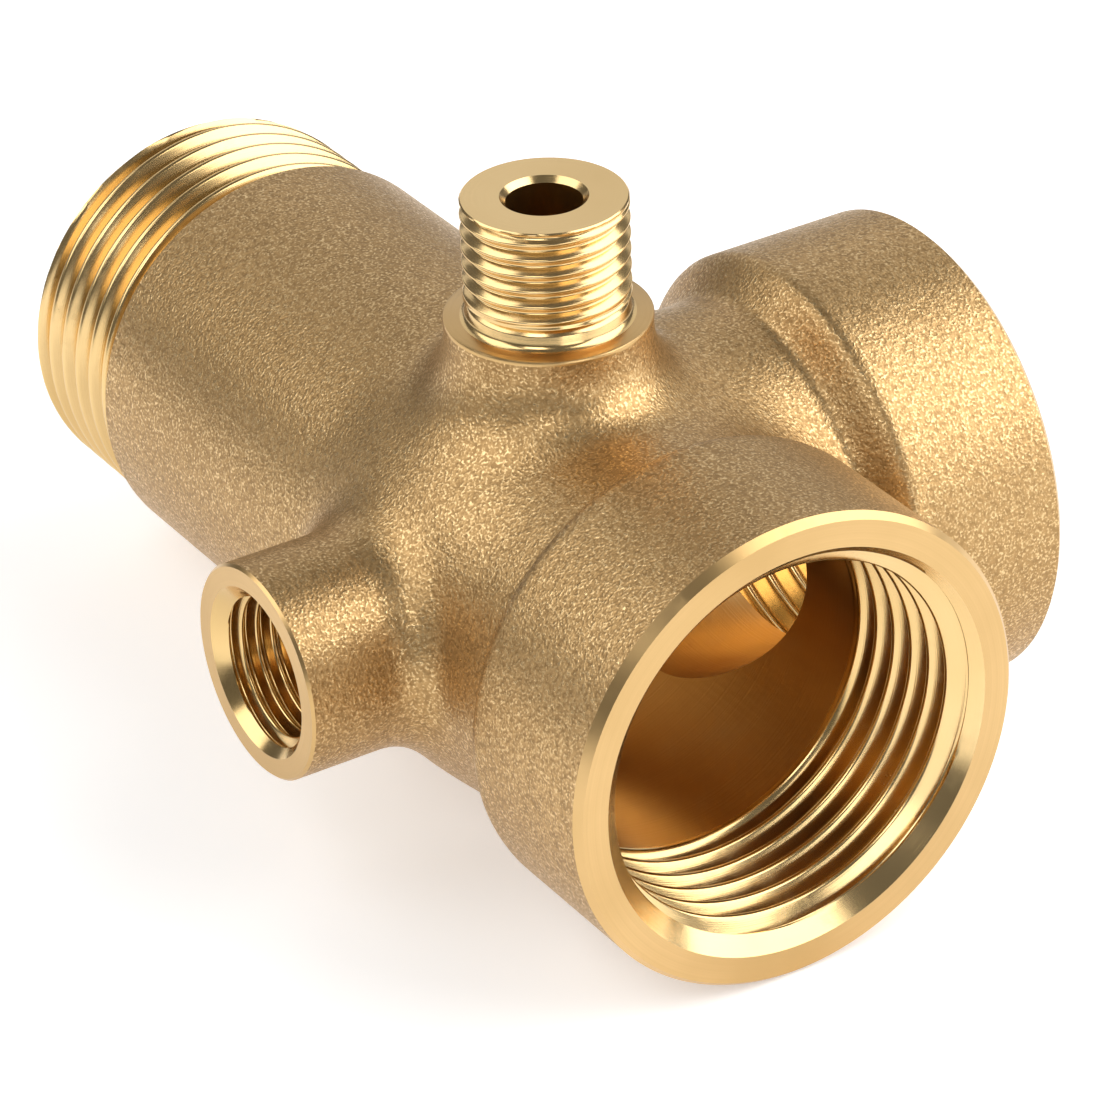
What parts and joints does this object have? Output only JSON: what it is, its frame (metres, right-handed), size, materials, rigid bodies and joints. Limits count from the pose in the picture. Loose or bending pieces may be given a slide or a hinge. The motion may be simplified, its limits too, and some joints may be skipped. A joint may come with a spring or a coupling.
{
  "type": "pipe cross fitting",
  "caption": "Cast brass pipe fitting: a straight run with a male and a female threaded end, a female side branch, a small tapped boss opposite it and a small threaded stub on top.",
  "frame": {"origin": "the point where the axes of the run, the branch, the gauge boss and the switch stub cross", "axes": "+X along the run out of the female outlet, with the male inlet at -X; +Y out of the female branch, with the gauge boss at -Y; +Z out of the switch stub"},
  "size_m": [0.0904, 0.0627, 0.0526],
  "materials": {
    "cast_skin": "sand-cast and blasted, satin with a fine grain",
    "turned_brass": "turned, satin bright with fine tool marks",
    "thread_brass": "cut thread, polished bright"
  },
  "bodies": {
    "root": {"run_barrel": "cast_skin", "crossing_body": "cast_skin", "outlet_socket": "cast_skin", "branch_socket": "cast_skin", "gauge_boss": "cast_skin", "switch_collar": "turned_brass", "inlet_thread": "thread_brass", "outlet_thread": "thread_brass", "branch_thread": "thread_brass", "gauge_thread": "thread_brass", "switch_thread": "thread_brass"}
  },
  "joints": []
}
